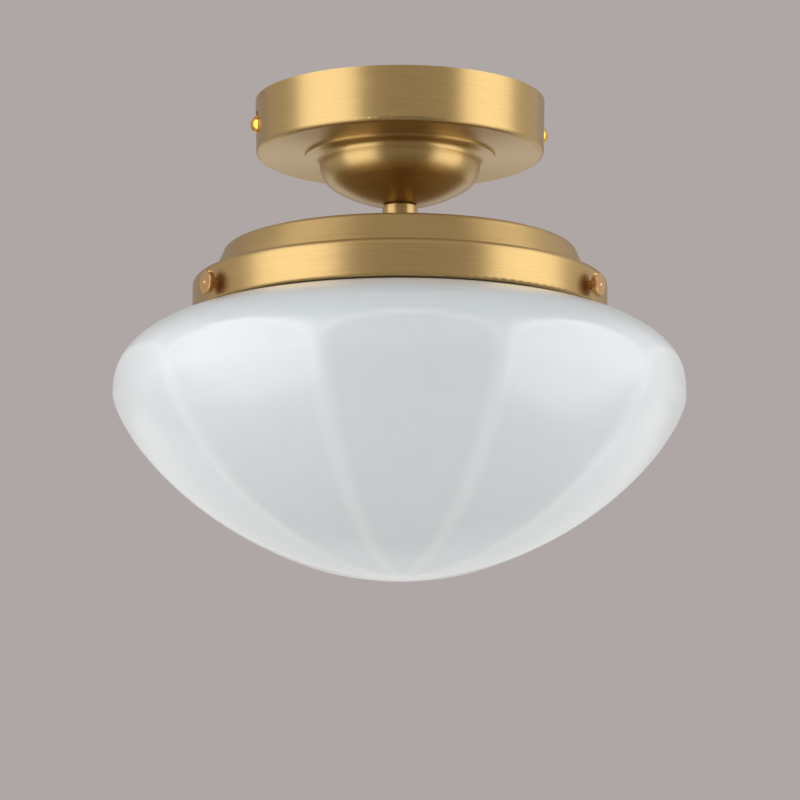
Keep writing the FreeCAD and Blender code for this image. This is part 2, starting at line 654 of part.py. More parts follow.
def panel_limit():
    """Solid whose side is one panel of the bowl: a bulged surface turned about a far axis. The
    half turn takes its seam to the side that no panel uses."""
    half = math.pi / PANEL_COUNT
    shift = PANEL_CENTRE_SHIFT
    sides = []
    for point in quarter(0, equator_level, equator_radius, -BOWL_DEPTH, BOWL_POWERS):
        ridge = point.x + RIDGE_SOFTENING
        across = math.hypot(ridge + shift * math.cos(half), shift * math.sin(half))
        sides.append(at(across, point.z))
    high = at(sides[0].x, lip_top + GLASS_WALL)
    low = at(sides[-1].x, pole_level - GLASS_WALL)
    curve = curve_through(sides, FreeCAD.Vector(0, 0, -1), FreeCAD.Vector(-1, 0, 0))
    edges = [Part.makeLine(at(0, high.z), high), Part.makeLine(high, sides[0]), curve,
             Part.makeLine(sides[-1], low), Part.makeLine(low, at(0, low.z)),
             Part.makeLine(at(0, low.z), at(0, high.z))]
    limit = about_z(turned(Part.Face(Part.Wire(edges))), 180)
    limit.translate(FreeCAD.Vector(-shift, 0, 0))
    return limit


def glass_shade():
    """Moulded glass: lipped neck, round shoulder, and a bowl of bulged panels meeting in ridges.
    One panel's share of the turned glass is shaped, and the others are copies of it."""
    bore = NECK_RADIUS - GLASS_WALL
    cove_top = shoulder_top + NECK_COVE_RADIUS
    lip = outline([(NECK_RADIUS, cove_top, 0), (NECK_RADIUS, neck_top, 0),
                   (lip_radius, neck_top, LIP_EDGE_RADIUS), (lip_radius, lip_top, LIP_EDGE_RADIUS),
                   (bore, lip_top, LIP_EDGE_RADIUS), (bore, cove_top, 0)])
    floor = Part.makeLine(at(0, pole_level), at(0, pole_level + GLASS_WALL))
    edges = glass_side(0) + lip.Edges + glass_side(GLASS_WALL) + [floor]
    wire = Part.Wire(Part.__sortEdges__(edges))
    turn = 360 / PANEL_COUNT
    share = Part.Face(wire).revolve(ORIGIN, Z_AXIS, turn)
    share = about_z(share, -turn / 2).common(panel_limit())
    shares = [about_z(share, PANEL_TURN + turn * k) for k in range(PANEL_COUNT)]
    return shares[0].fuse(shares[1:]).removeSplitter().Solids[0]


# ---------------------------------------------------------------- lampholder
def lamp_hanger():
    """Steel strap bent into a bridge, with a foot at each side screwed to the porcelain."""
    half_span = HANGER_SPAN / 2
    foot_top = holder_top + HANGER_THICKNESS
    half = outline([(0, hanger_top, 0), (half_span, hanger_top, HANGER_BEND_RADIUS),
                    (half_span, foot_top, HANGER_BEND_RADIUS - HANGER_THICKNESS),
                    (half_span + HANGER_FOOT, foot_top, 0)])
    strip = half.makeOffset2D(-HANGER_THICKNESS, 0, True, True)
    arm = strip.extrude(FreeCAD.Vector(0, HANGER_WIDTH, 0))
    arm.translate(FreeCAD.Vector(0, -HANGER_WIDTH / 2, 0))
    hole = rod(M35_SCREW[0] + HOLE_CLEARANCE, at(hanger_screw_place, holder_top), Z_AXIS, HANGER_THICKNESS)
    arm = arm.cut(hole)
    strap = arm.fuse(about_z(arm, 180)).removeSplitter()
    return strap.cut(tube(tube_hole_radius, 0, gallery_nut_top, hanger_top))


def hanger_screws():
    screw = round_head_screw(M35_SCREW, HANGER_THICKNESS + HANGER_SCREW_BITE)
    screws = {}
    for index, side in enumerate((-1, 1)):
        seat = at(side * hanger_screw_place, holder_top + HANGER_THICKNESS)
        screws["hanger_screw_%d" % (index + 1)] = placed(screw, seat, Z_AXIS)
    return screws


def lampholder_body():
    """Porcelain: a wide head, a slimmer skirt and the cavity for the thread shell."""
    step = holder_top - HOLDER_HEAD_HEIGHT
    slope = HOLDER_HEAD_RADIUS - HOLDER_RADIUS
    body = turned_outline([(0, holder_top, 0), (HOLDER_HEAD_RADIUS, holder_top, HOLDER_EDGE_RADIUS),
                           (HOLDER_HEAD_RADIUS, step, HOLDER_EDGE_RADIUS),
                           (HOLDER_RADIUS, step - slope, 0),
                           (HOLDER_RADIUS, holder_mouth, HOLDER_EDGE_RADIUS),
                           (cavity_radius, holder_mouth, 0), (cavity_radius, cavity_top, 0),
                           (0, cavity_top, 0)])
    depth = holder_top - cavity_top
    down = FreeCAD.Vector(0, 0, -1)
    for side in (-1, 1):
        seat = at(side * hanger_screw_place, holder_top)
        screw_hole = rod(M35_SCREW[0] + THREAD_CLEARANCE, seat, down, depth)
        rivet_hole = rod(RIVET_RADIUS, FreeCAD.Vector(0, side * RIVET_PLACE, holder_top), down, depth)
        body = body.cut([screw_hole, rivet_hole])
    return body


def thread_shell():
    """Brass shell of the lamp thread at its nominal bore, with a narrower collar around the
    contacts, seated against the cavity's end."""
    bore = LAMP_THREAD_RADIUS
    flange_low = cavity_top - SHELL_WALL
    return turned_outline([(SHELL_HOLE_RADIUS, cavity_top, 0), (bore, cavity_top, SHELL_WALL),
                           (bore, collar_low, 0), (cavity_radius, collar_low, 0),
                           (cavity_radius, shell_low, 0), (bore, shell_low, 0),
                           (bore, collar_low - SHELL_WALL, 0),
                           (collar_bore_radius, collar_low - SHELL_WALL, 0),
                           (collar_bore_radius, flange_low, 0), (SHELL_HOLE_RADIUS, flange_low, 0)])


def riveted(strip, level):
    """Fuses a contact strip with the rivet that holds it up through the porcelain and its post."""
    rivet = rod(RIVET_RADIUS, at(RIVET_PLACE, level), Z_AXIS, holder_top + POST_HEIGHT - level)
    return strip.fuse(rivet).removeSplitter()


def centre_contact():
    """Sprung tongue that reaches down to the middle of the lamp's foot."""
    end = RIVET_PLACE + CONTACT_WIDTH / 2
    tongue_level = cavity_top - CONTACT_DROP
    wire = outline([(end, cavity_top, 0), (CONTACT_WIDTH, cavity_top, CONTACT_BEND_RADIUS),
                    (0, tongue_level, CONTACT_BEND_RADIUS), (-CONTACT_WIDTH / 2, tongue_level, 0)])
    strip = wire.makeOffset2D(CONTACT_THICKNESS, 0, True, True).extrude(FreeCAD.Vector(0, CONTACT_WIDTH, 0))
    strip.translate(FreeCAD.Vector(0, -CONTACT_WIDTH / 2, 0))
    return about_z(riveted(strip, cavity_top - CONTACT_THICKNESS), -90)


def side_contact():
    """Flat strip that bears on the thread shell's inner flange."""
    high = cavity_top - SHELL_WALL
    low = high - CONTACT_THICKNESS
    strip = box((RIVET_PLACE - CONTACT_WIDTH / 2, -CONTACT_WIDTH / 2, low),
                (collar_bore_radius - SEAT_GAP, CONTACT_WIDTH / 2, high))
    return about_z(riveted(strip, low), 90)


def lamp_terminals():
    """Brass posts riveted on the porcelain, each with a cross hole and a clamping screw."""
    near = RIVET_PLACE - POST_WIDTH / 2
    far = RIVET_PLACE + POST_SCREW_STEP + POST_WIDTH / 2
    high = holder_top + POST_HEIGHT
    post = box((near, -POST_WIDTH / 2, holder_top), (far, POST_WIDTH / 2, high))
    post = post.cut(rod(RIVET_RADIUS, at(RIVET_PLACE, holder_top), Z_AXIS, POST_HEIGHT))
    screw_place = RIVET_PLACE + POST_SCREW_STEP
    tapped = rod(M3_SCREW[0] + THREAD_CLEARANCE, at(screw_place, holder_top), Z_AXIS, POST_HEIGHT)
    wire_mouth = FreeCAD.Vector(screw_place, -POST_WIDTH / 2, holder_top + POST_WIRE_RISE)
    wire_hole = rod(POST_WIRE_RADIUS, wire_mouth, FreeCAD.Vector(0, 1, 0), POST_WIDTH)
    post = post.cut([tapped, wire_hole])
    screw = placed(round_head_screw(M3_SCREW, POST_SCREW_LENGTH), at(screw_place, high), Z_AXIS)
    parts = {}
    for index, turn in enumerate((-90, 90)):
        parts["lamp_terminal_%d" % (index + 1)] = about_z(post, turn)
        parts["lamp_terminal_screw_%d" % (index + 1)] = about_z(screw, turn)
    return parts


# ---------------------------------------------------------------- the light
def numbered(name, shape):
    """One copy of a shape per thumbscrew, turned to its bearing."""
    return {"%s_%d" % (name, k + 1): about_z(shape, angle) for k, angle in enumerate(thumbscrew_angles())}


def ceiling_light():
    nut_bore = TUBE_RADIUS + THREAD_CLEARANCE
    nodes = {"canopy": canopy(), "mounting_bracket": mounting_bracket()}
    nodes.update(canopy_screws())
    nodes["terminal_block"] = terminal_block()
    nodes.update(terminal_sleeves())
    nodes["terminal_clamp_screws"] = clamp_screws()
    nodes["terminal_block_screw"] = block_screw()
    nodes["earth_screw"] = earth_screw()
    nodes["earth_washer"] = earth_washer()
    nodes["dome_cup"] = dome_cup()
    nodes["stem_sleeve"] = stem_sleeve()
    nodes["threaded_tube"] = threaded_tube()
    nodes["canopy_nut"] = hex_nut(canopy_washer_top, nut_bore)
    nodes["canopy_lock_washer"] = lock_washer(canopy_washer_top - LOCK_WASHER_THICKNESS)
    nodes["gallery"] = gallery()
    nodes["gallery_lock_washer"] = lock_washer(hanger_top)
    nodes["gallery_nut"] = hex_nut(gallery_nut_top - NUT_HEIGHT, nut_bore)
    nodes.update(numbered("band_bush", band_bush()))
    nodes.update(numbered("thumbscrew", thumbscrew()))
    nodes.update(numbered("screw_tip", screw_tip()))
    nodes["glass_shade"] = glass_shade()
    nodes["lamp_hanger"] = lamp_hanger()
    nodes.update(hanger_screws())
    nodes["lampholder_body"] = lampholder_body()
    nodes["thread_shell"] = thread_shell()
    nodes["centre_contact"] = centre_contact()
    nodes["side_contact"] = side_contact()
    nodes.update(lamp_terminals())
    return nodes


os.makedirs("parts", exist_ok=True)
for node_name, node_shape in ceiling_light().items():
    node_shape.exportStep("parts/%s.step" % node_name)
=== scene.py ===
# %% [markdown]
# # A semi flush ceiling light
#
# The real light is a brass canopy against the ceiling, a domed cup and a short stem under it, a
# brass gallery with three thumbscrews, and an opal glass shade blown in a ten-panelled mould.
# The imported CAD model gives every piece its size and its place. This lesson gives the shade a
# finer skin than the CAD solid has, and gives every piece the finish of the real one.

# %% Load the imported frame
import json
import math

import bmesh
import bpy
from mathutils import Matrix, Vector


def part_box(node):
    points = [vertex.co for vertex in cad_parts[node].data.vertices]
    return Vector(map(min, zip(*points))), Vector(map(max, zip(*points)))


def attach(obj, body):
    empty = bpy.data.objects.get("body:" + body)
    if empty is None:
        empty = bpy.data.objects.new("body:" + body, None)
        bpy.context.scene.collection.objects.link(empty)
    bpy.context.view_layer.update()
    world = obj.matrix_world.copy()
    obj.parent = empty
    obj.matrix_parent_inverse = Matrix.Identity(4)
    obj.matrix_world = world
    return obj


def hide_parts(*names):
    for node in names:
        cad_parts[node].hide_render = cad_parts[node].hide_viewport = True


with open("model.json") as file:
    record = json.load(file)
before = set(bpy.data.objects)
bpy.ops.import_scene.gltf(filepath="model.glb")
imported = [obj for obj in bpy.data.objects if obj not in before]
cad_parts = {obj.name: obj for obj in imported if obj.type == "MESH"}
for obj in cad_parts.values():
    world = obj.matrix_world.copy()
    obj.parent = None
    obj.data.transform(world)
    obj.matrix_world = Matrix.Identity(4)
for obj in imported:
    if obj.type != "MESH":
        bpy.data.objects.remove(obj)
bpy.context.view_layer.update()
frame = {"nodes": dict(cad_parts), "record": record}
MM = 0.001
print("nodes:", len(frame["nodes"]))

# %% [markdown]
# ## Camera
#
# The photo was taken from below the light and a long way off, so the glass and the canopy show
# hardly any perspective. The camera stands 1.8 m from the light and 0.47 m under the ceiling,
# and a long lens on a 36 mm sensor fills the frame. It stands a little to the left of the
# crossbar's square, because the canopy screws show there.

# %% Place the camera
PHOTO_SIZE = 800
CAMERA_DISTANCE = 1.8
CAMERA_LEVEL = -0.4692
CAMERA_PITCH = math.radians(10.8)
CAMERA_BEARING = math.radians(9.2)
FOCAL_PIXELS = 4468
SENSOR_WIDTH = 36

camera_data = bpy.data.cameras.new("camera")
camera_data.sensor_width = SENSOR_WIDTH
camera_data.lens = SENSOR_WIDTH * FOCAL_PIXELS / PHOTO_SIZE
camera = bpy.data.objects.new("camera", camera_data)
bpy.context.scene.collection.objects.link(camera)
camera.location = (-CAMERA_DISTANCE * math.sin(CAMERA_BEARING), -CAMERA_DISTANCE * math.cos(CAMERA_BEARING),
                   CAMERA_LEVEL)
camera.rotation_euler = (math.pi / 2 + CAMERA_PITCH, 0, -CAMERA_BEARING)
bpy.context.scene.camera = camera
print("lens in mm:", round(camera_data.lens, 1))


# %% [markdown]
# ## Colours and nodes
#
# Colours are written as they look on a screen, in hex, and one function turns them to the
# linear values that the renderer works in. One function adds a shader node with its settings
# and its links, so that each material below reads like a short recipe.

# %% Helpers for materials
def colour(code):
    """Linear red, green, blue and alpha from a six-digit hex colour."""
    channels = [int(code[k:k + 2], 16) / 255 for k in (0, 2, 4)]
    linear = [c / 12.92 if c <= 0.04045 else ((c + 0.055) / 1.055) ** 2.4 for c in channels]
    return (*linear, 1.0)


def add_node(tree, kind, settings=(), inputs=()):
    """Adds one node; an input is a number, a colour or another node's output socket."""
    node = tree.nodes.new(kind)
    for name, value in dict(settings).items():
        setattr(node, name, value)
    for name, value in dict(inputs).items():
        if isinstance(value, bpy.types.NodeSocket):
            tree.links.new(value, node.inputs[name])
        else:
            node.inputs[name].default_value = value
    return node


def new_material(name):
    """A material with only its shader and its output: returns the material, its tree and its shader."""
    material = bpy.data.materials.new(name)
    material.use_nodes = True
    tree = material.node_tree
    return material, tree, tree.nodes["Principled BSDF"]


def between(tree, factor, low, high):
    """Socket that runs from one number to another as a factor goes from 0 to 1."""
    ramp = add_node(tree, "ShaderNodeMapRange", inputs={"Value": factor, "To Min": low, "To Max": high})
    return ramp.outputs[0]


def blended(tree, factor, first, second):
    """Socket that blends two colours by a factor."""
    mix = add_node(tree, "ShaderNodeMix", {"data_type": "RGBA"}, {0: factor, 6: first, 7: second})
    return mix.outputs[2]


def bumped(tree, shader, height, depth):
    """Raises the surface by a height socket, to a real depth in metres."""
    bump = add_node(tree, "ShaderNodeBump", inputs={"Height": height, "Distance": depth, "Strength": 1.0})
    tree.links.new(bump.outputs[0], shader.inputs["Normal"])


def grains(tree, size, detail):
    """Noise socket over the light's own coordinates, with grains of a real size in metres."""
    place = add_node(tree, "ShaderNodeTexCoord").outputs["Object"]
    noise = add_node(tree, "ShaderNodeTexNoise",
                     inputs={"Vector": place, "Scale": 1 / size, "Detail": detail})
    return noise.outputs["Fac"]


def patterned(tree, shader, pattern, codes, roughness):
    """Lets one pattern socket run the base colour between two hex codes, and the roughness."""
    tint = blended(tree, pattern, colour(codes[0]), colour(codes[1]))
    tree.links.new(tint, shader.inputs["Base Color"])
    tree.links.new(between(tree, pattern, *roughness), shader.inputs["Roughness"])


# %% [markdown]
# ## Satin brass
#
# Canopy, cup, stem and gallery are spun from sheet brass, brushed while they turn and then
# lacquered. The brushing leaves fine scratches that run round the axis, which spreads every
# highlight up and down and keeps it narrow sideways. The scratches are noise that is stretched
# round the axis: its place is the direction from the axis, the height and the distance from the
# axis, so it runs round flat faces as well as upright ones and has no seam. Real scratches are
# about 0.05 mm wide, too fine for the render, so they are drawn about ten times as coarse.

# %% Make the satin brass
SCRATCH_WIDTH = 0.45 * MM
SCRATCH_TURN = math.radians(14)
SCRATCH_DEPTH = 0.004 * MM
BRASS_DARK = "AF925C"
BRASS_LIGHT = "C9AD78"


def scratches_round_axis(tree, width, turn):
    """Noise socket stretched round Z: width across a scratch in metres, length as an angle."""
    place = add_node(tree, "ShaderNodeTexCoord").outputs["Object"]
    split = add_node(tree, "ShaderNodeSeparateXYZ", inputs={0: place})
    flat = add_node(tree, "ShaderNodeCombineXYZ", inputs={0: split.outputs[0], 1: split.outputs[1]})
    distance = add_node(tree, "ShaderNodeVectorMath", {"operation": "LENGTH"}, {0: flat.outputs[0]})
    way = add_node(tree, "ShaderNodeVectorMath", {"operation": "NORMALIZE"}, {0: flat.outputs[0]})
    way = add_node(tree, "ShaderNodeVectorMath", {"operation": "SCALE"},
                   {0: way.outputs[0], "Scale": 1 / turn})
    height = add_node(tree, "ShaderNodeCombineXYZ", inputs={2: split.outputs[2]})
    height = add_node(tree, "ShaderNodeVectorMath", {"operation": "SCALE"},
                      {0: height.outputs[0], "Scale": 1 / width})
    vector = add_node(tree, "ShaderNodeVectorMath", {"operation": "ADD"},
                      {0: way.outputs[0], 1: height.outputs[0]})
    across = add_node(tree, "ShaderNodeMath", {"operation": "MULTIPLY"},
                      {0: distance.outputs["Value"], 1: 1 / width})
    noise = add_node(tree, "ShaderNodeTexNoise", {"noise_dimensions": "4D"},
                     {"Vector": vector.outputs[0], "W": across.outputs[0], "Scale": 1.0, "Detail": 3.0,
                      "Roughness": 0.6})
    return noise.outputs["Fac"]


def satin_brass():
    material, tree, shader = new_material("satin_brass_brushed_and_lacquered")
    scratch = scratches_round_axis(tree, SCRATCH_WIDTH, SCRATCH_TURN)
    patterned(tree, shader, scratch, (BRASS_DARK, BRASS_LIGHT), (0.32, 0.42))
    shader.inputs["Metallic"].default_value = 1.0
    shader.inputs["Anisotropic"].default_value = 0.6
    shader.inputs["Anisotropic Rotation"].default_value = 0.25
    tangent = add_node(tree, "ShaderNodeTangent", {"direction_type": "RADIAL", "axis": "Z"})
    tree.links.new(tangent.outputs[0], shader.inputs["Tangent"])
    bumped(tree, shader, scratch, SCRATCH_DEPTH)
    return material


finishes = {"brushed_brass": satin_brass()}
print("made", finishes["brushed_brass"].name)


# %% [markdown]
# ## Small brass and gold pieces
#
# The canopy screws are machine screws with a polished gold plating: a nearly clean mirror with a
# few handling marks. The thumbscrews are turned from bar, so fine rings run round each screw's
# own axis, which points out from the light. The terminal parts and the lamp shell are plain
# pressed and drawn brass with a faint tarnish.

# %% Make the other brasses
def polished_gold():
    material, tree, shader = new_material("gold_plated_brass_polished")
    marks = grains(tree, 0.9 * MM, 4.0)
    patterned(tree, shader, marks, ("E0A63C", "F2C566"), (0.08, 0.22))
    shader.inputs["Metallic"].default_value = 1.0
    bumped(tree, shader, marks, 0.01 * MM)
    return material


def plain_brass():
    material, tree, shader = new_material("plain_brass_with_light_tarnish")
    tarnish = grains(tree, 3 * MM, 5.0)
    patterned(tree, shader, tarnish, ("A98243", "D9B76C"), (0.45, 0.22))
    shader.inputs["Metallic"].default_value = 1.0
    return material


finishes["polished_gold"] = polished_gold()
finishes["raw_brass"] = plain_brass()

# %% [markdown]
# Each thumbscrew gets its own copy of the turned brass, because its rings are measured from its
# own axis. A Mapping node turns the light's coordinates until that axis lies along X and moves
# its height to zero; the distance from X then counts the rings.

# %% Make the turned brass of each thumbscrew
TURNING_PITCH = 0.5 * MM


def turned_brass(bearing, level):
    material, tree, shader = new_material("turned_brass")
    place = add_node(tree, "ShaderNodeTexCoord").outputs["Object"]
    turned = add_node(tree, "ShaderNodeMapping",
                      inputs={"Vector": place, "Location": (0, 0, -level), "Rotation": (0, 0, -bearing)})
    split = add_node(tree, "ShaderNodeSeparateXYZ", inputs={0: turned.outputs[0]})
    side = add_node(tree, "ShaderNodeCombineXYZ", inputs={1: split.outputs[1], 2: split.outputs[2]})
    distance = add_node(tree, "ShaderNodeVectorMath", {"operation": "LENGTH"}, {0: side.outputs[0]})
    rings = add_node(tree, "ShaderNodeMath", {"operation": "MULTIPLY"},
                     {0: distance.outputs["Value"], 1: 1 / TURNING_PITCH})
    along = add_node(tree, "ShaderNodeMath", {"operation": "MULTIPLY"},
                     {0: split.outputs[0], 1: 1 / TURNING_PITCH})
    line = add_node(tree, "ShaderNodeCombineXYZ", inputs={0: rings.outputs[0], 1: along.outputs[0]})
    noise = add_node(tree, "ShaderNodeTexNoise",
                     inputs={"Vector": line.outputs[0], "Scale": 1.0, "Detail": 2.0})
    patterned(tree, shader, noise.outputs["Fac"], ("B98B52", "E2BC86"), (0.18, 0.32))
    shader.inputs["Metallic"].default_value = 1.0
    bumped(tree, shader, noise.outputs["Fac"], 0.015 * MM)
    return material


def node_middle(node):
    low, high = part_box(node)
    return (low + high) / 2


thumbscrew_finishes = {}
for number in (1, 2, 3):
    middle = node_middle("thumbscrew_%d" % number)
    thumbscrew_finishes["thumbscrew_%d" % number] = turned_brass(math.atan2(middle.y, middle.x), middle.z)
print("turned brass:", len(thumbscrew_finishes))


# %% [markdown]
# ## Opal glass
#
# The shade is milk-white glass blown in a mould. Light goes a little way in and comes out again,
# which softens the shading, and a thin clear skin over the white gives a quiet reflection. The
# mould leaves the skin very slightly wavy. Along the ridges and round the panel tops, where the
# glass is thickest, the colour is lifted towards white: a painted highlight on the creases. A white
# Principled shader with some subsurface scattering and a clear coat does the rest; real layers of
# clear and white glass would render slowly and look the same. The shade's mesh carries the creases
# as a vertex attribute, which places the painted highlight.

# %% Make the opal glass
WAVE_LENGTH = 24 * MM
WAVE_DEPTH = 0.03 * MM
CLOUD_SIZE = 9 * MM
RIDGE_HIGHLIGHT_STRENGTH = 0.35


def opal_glass():
    material, tree, shader = new_material("opal_glass_mould_blown")
    cloud = grains(tree, CLOUD_SIZE, 3.0)
    milk = blended(tree, cloud, colour("E6EAEB"), colour("EBEFEF"))
    # Painted highlight: the crease mark blends the milk towards white along the ridges and panel tops.
    ridge_highlight_mark = add_node(tree, "ShaderNodeAttribute", {"attribute_name": "crease"})
    painted_ridge_highlight = between(tree, ridge_highlight_mark.outputs["Fac"], 0.0, RIDGE_HIGHLIGHT_STRENGTH)
    tree.links.new(blended(tree, painted_ridge_highlight, milk, colour("FFFFFF")), shader.inputs["Base Color"])
    tree.links.new(between(tree, cloud, 0.22, 0.26), shader.inputs["Roughness"])
    shader.inputs["Subsurface Weight"].default_value = 0.2
    shader.inputs["Subsurface Radius"].default_value = (1.0, 1.0, 1.0)
    shader.inputs["Subsurface Scale"].default_value = 2 * MM
    shader.inputs["IOR"].default_value = 1.5
    shader.inputs["Coat Weight"].default_value = 0.8
    shader.inputs["Coat Roughness"].default_value = 0.34
    bumped(tree, shader, grains(tree, WAVE_LENGTH, 1.0), WAVE_DEPTH)
    return material


finishes["opal_glass"] = opal_glass()


# %% [markdown]
# ## The hidden fittings
#
# The lampholder body is glazed porcelain, the terminal block is moulded polyamide, the crossbar,
# nuts and screws are zinc plated steel with the plating's patchy crystals, and the thumbscrews'
# tips are soft nylon. They show from above and from below once the shade is off.

# %% Make the other finishes
FINE_DEPTH = 0.02 * MM


def porcelain():
    material, tree, shader = new_material("porcelain_glazed")
    specks = grains(tree, 1.2 * MM, 2.0)
    patterned(tree, shader, specks, ("E6E2D8", "F3F0E8"), (0.12, 0.25))
    bumped(tree, shader, specks, FINE_DEPTH)
    return material


def moulded_polyamide():
    material, tree, shader = new_material("polyamide_moulded")
    grain = grains(tree, 0.5 * MM, 3.0)
    patterned(tree, shader, grain, ("DEDDD6", "E9E8E2"), (0.38, 0.5))
    bumped(tree, shader, grain, FINE_DEPTH)
    return material


def zinc_plated_steel():
    material, tree, shader = new_material("steel_zinc_plated")
    place = add_node(tree, "ShaderNodeTexCoord").outputs["Object"]
    crystals = add_node(tree, "ShaderNodeTexVoronoi", inputs={"Vector": place, "Scale": 1 / (1.5 * MM)})
    grey = add_node(tree, "ShaderNodeRGBToBW", inputs={0: crystals.outputs["Color"]})
    patterned(tree, shader, grey.outputs[0], ("A9ADB3", "C9CCD0"), (0.28, 0.42))
    shader.inputs["Metallic"].default_value = 1.0
    return material


def soft_nylon():
    material, tree, shader = new_material("nylon_soft")
    grain = grains(tree, 0.4 * MM, 2.0)
    patterned(tree, shader, grain, ("D9D6CC", "E8E6DE"), (0.5, 0.65))
    bumped(tree, shader, grain, FINE_DEPTH)
    return material


finishes["porcelain"] = porcelain()
finishes["block_plastic"] = moulded_polyamide()
finishes["zinc_steel"] = zinc_plated_steel()
finishes["soft_tip"] = soft_nylon()

# %% [markdown]
# ## Finishes on the CAD pieces
#
# The record says which finish each CAD node takes, so one loop dresses them all. The CAD meshes
# stay as they are.

# %% Dress the CAD nodes
slot_of_node = {part["node"]: part["material_slot"] for part in frame["record"]["subparts"]}
for node_name, node in frame["nodes"].items():
    finish = thumbscrew_finishes.get(node_name) or finishes[slot_of_node[node_name]]
    for slot in node.material_slots:
        slot.material = finish
print("dressed", len(slot_of_node), "nodes")


# %% [markdown]
# ## The shade
#
# The shade has a lipped neck, a smooth round shoulder and a bowl of ten bulged panels that meet
# in soft ridges. It could be sculpted panel by panel, but the glass was blown against a mould:
# first a turned form, then each panel pressing it in. So the outline is spun round the axis, and
# then each point of the outer skin moves in to the face of its panel where that is nearer. The
# blend between the two is rounded, as hot glass rounds it: this makes the arched panel tops.

# %% Sizes of the shade
shade_low, shade_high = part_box("glass_shade")
POLE_LEVEL = shade_low.z / MM
LIP_TOP = shade_high.z / MM
NECK_RADIUS = 75.0
LIP_RADIUS = 78.3
LIP_THICKNESS = 4.0
LIP_EDGE_RADIUS = 1.3
NECK_LENGTH = 9.1
NECK_COVE_RADIUS = 4.0
EQUATOR_RADIUS = 117.7
BOWL_DEPTH = 75.5
BOWL_POWERS = (1.9, 1.43)
SHOULDER_POWERS = (1.5, 2.5)
GLASS_WALL = 3.6
PANEL_COUNT = 10
PANEL_TURN = math.radians(10.9)
PANEL_CENTRE_SHIFT = 72.0
RIDGE_SOFTENING = 0.25

equator_level = POLE_LEVEL + BOWL_DEPTH
neck_top = LIP_TOP - LIP_THICKNESS
shoulder_top = neck_top - NECK_LENGTH
cove_top = shoulder_top + NECK_COVE_RADIUS
print("shade from", round(POLE_LEVEL, 1), "to", round(LIP_TOP, 1), "mm")

# %% [markdown]
# The bowl and the shoulder are quarters of superellipses. Corners of the neck and the lip are
# drawn sharp and then rounded by a vertex bevel. The outer and the inner skin are two outlines
# that meet inside the neck, and each is spun in the same steps, an equal number to every panel.

# %% Helpers for turned outlines
SHADE_STEPS = 720
OUTER_ROWS = (44, 24)
INNER_ROWS = (24, 12)
ROUND_SEGMENTS = 6


def quarter(centre_radius, level, reach, drop, powers, rows):
    """Points of a quarter superellipse, from its widest point to its end above or below."""
    points = []
    for row in range(rows + 1):
        across = abs(math.cos(math.pi / 2 * row / rows))
        along = (1 - across ** powers[0]) ** (1 / powers[1])
        points.append((centre_radius + reach * across, level + drop * along, 0))
    return points


def spun(corners, steps):
    """Mesh turned about Z from an open outline of (radius, level, rounding) corners in mm."""
    mesh = bmesh.new()
    verts = [mesh.verts.new((radius * MM, 0, level * MM)) for radius, level, rounding in corners]
    for pair in zip(verts, verts[1:]):
        mesh.edges.new(pair)
    places = [vert.co.copy() for vert in verts]
    for index, (radius, level, rounding) in enumerate(corners):
        if rounding:
            half_angle = (places[index - 1] - places[index]).angle(places[index + 1] - places[index]) / 2
            bmesh.ops.bevel(mesh, geom=[verts[index]], offset=rounding * MM / math.tan(half_angle),
                            offset_type="OFFSET", affect="VERTICES", segments=ROUND_SEGMENTS, profile=0.5,
                            material=-1)
    bmesh.ops.spin(mesh, geom=mesh.verts[:] + mesh.edges[:], cent=(0, 0, 0), axis=(0, 0, 1), angle=math.tau,
                   steps=steps, use_merge=True)
    bmesh.ops.remove_doubles(mesh, verts=mesh.verts[:], dist=0.001 * MM)
    return mesh


def finished(name, mesh, material):
    """Object from a finished mesh: normals outwards, smooth faces, at the origin."""
    bmesh.ops.recalc_face_normals(mesh, faces=mesh.faces[:])
    for face in mesh.faces:
        face.smooth = True
    data = bpy.data.meshes.new(name)
    mesh.to_mesh(data)
    mesh.free()
    data.materials.append(material)
    piece = bpy.data.objects.new(name, data)
    bpy.context.scene.collection.objects.link(piece)
    print("made", name, "with", len(data.vertices), "points")
    return piece


# %% Spin the two skins of the shade
def glass_side(inset, rows):
    """Corners from the pole of the bowl to the shoulder's end; inset moves them inwards."""
    widest = EQUATOR_RADIUS - inset
    centre_radius = NECK_RADIUS + NECK_COVE_RADIUS
    cove_floor = cove_top - NECK_COVE_RADIUS - inset
    bowl = quarter(0, equator_level, widest, inset - BOWL_DEPTH, BOWL_POWERS, rows[0])
    shoulder = quarter(centre_radius, equator_level, widest - centre_radius, cove_floor - equator_level,
                       SHOULDER_POWERS, rows[1])
    return bowl[::-1] + shoulder[1:]


bore_radius = NECK_RADIUS - GLASS_WALL
outer_neck = [(NECK_RADIUS, shoulder_top, NECK_COVE_RADIUS), (NECK_RADIUS, neck_top, 0),
              (LIP_RADIUS, neck_top, LIP_EDGE_RADIUS), (LIP_RADIUS, LIP_TOP, LIP_EDGE_RADIUS),
              (bore_radius, LIP_TOP, LIP_EDGE_RADIUS), (bore_radius, cove_top, 0)]
inner_neck = [(bore_radius, shoulder_top - GLASS_WALL, NECK_COVE_RADIUS + GLASS_WALL),
              (bore_radius, cove_top, 0)]
outer_skin = spun(glass_side(0, OUTER_ROWS) + outer_neck, SHADE_STEPS)
inner_skin = spun(glass_side(GLASS_WALL, INNER_ROWS) + inner_neck, SHADE_STEPS)
print("outer skin:", len(outer_skin.verts), "inner skin:", len(inner_skin.verts))
